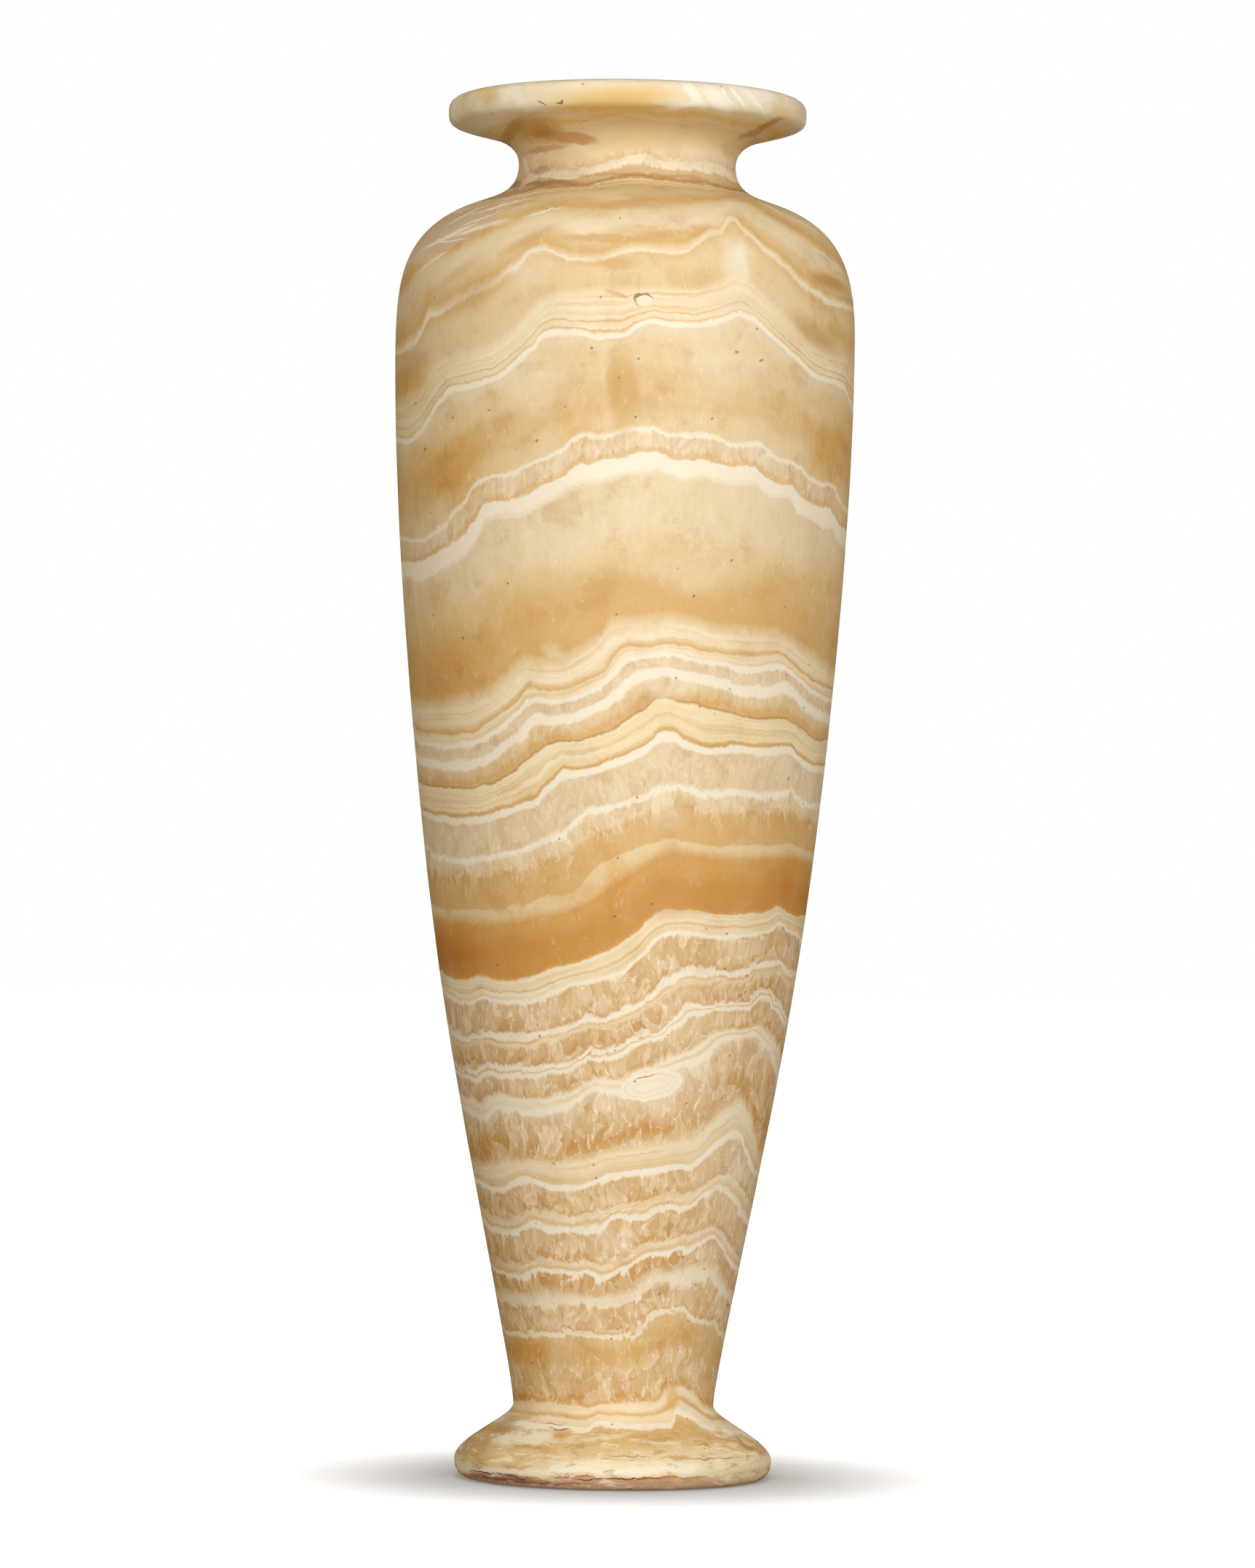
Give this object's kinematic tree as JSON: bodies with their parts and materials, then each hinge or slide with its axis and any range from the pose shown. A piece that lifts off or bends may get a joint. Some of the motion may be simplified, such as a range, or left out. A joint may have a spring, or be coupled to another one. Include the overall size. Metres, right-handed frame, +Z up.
{
  "type": "alabaster vase",
  "caption": "Tall footed vase carved from banded stone, with a narrow neck, a wide flat rim and a hollow body, for display or to hold stems, oil or unguent.",
  "frame": {"origin": "middle of the underside of the foot", "axes": "+Z up along the axis of turning, from the foot to the rim; -Y is the side that the picture shows"},
  "size_m": [0.174, 0.174, 0.5206],
  "materials": {
    "alabaster": "polished, banded honey, cream and white"
  },
  "bodies": {
    "root": {"vase": "alabaster"}
  },
  "joints": []
}
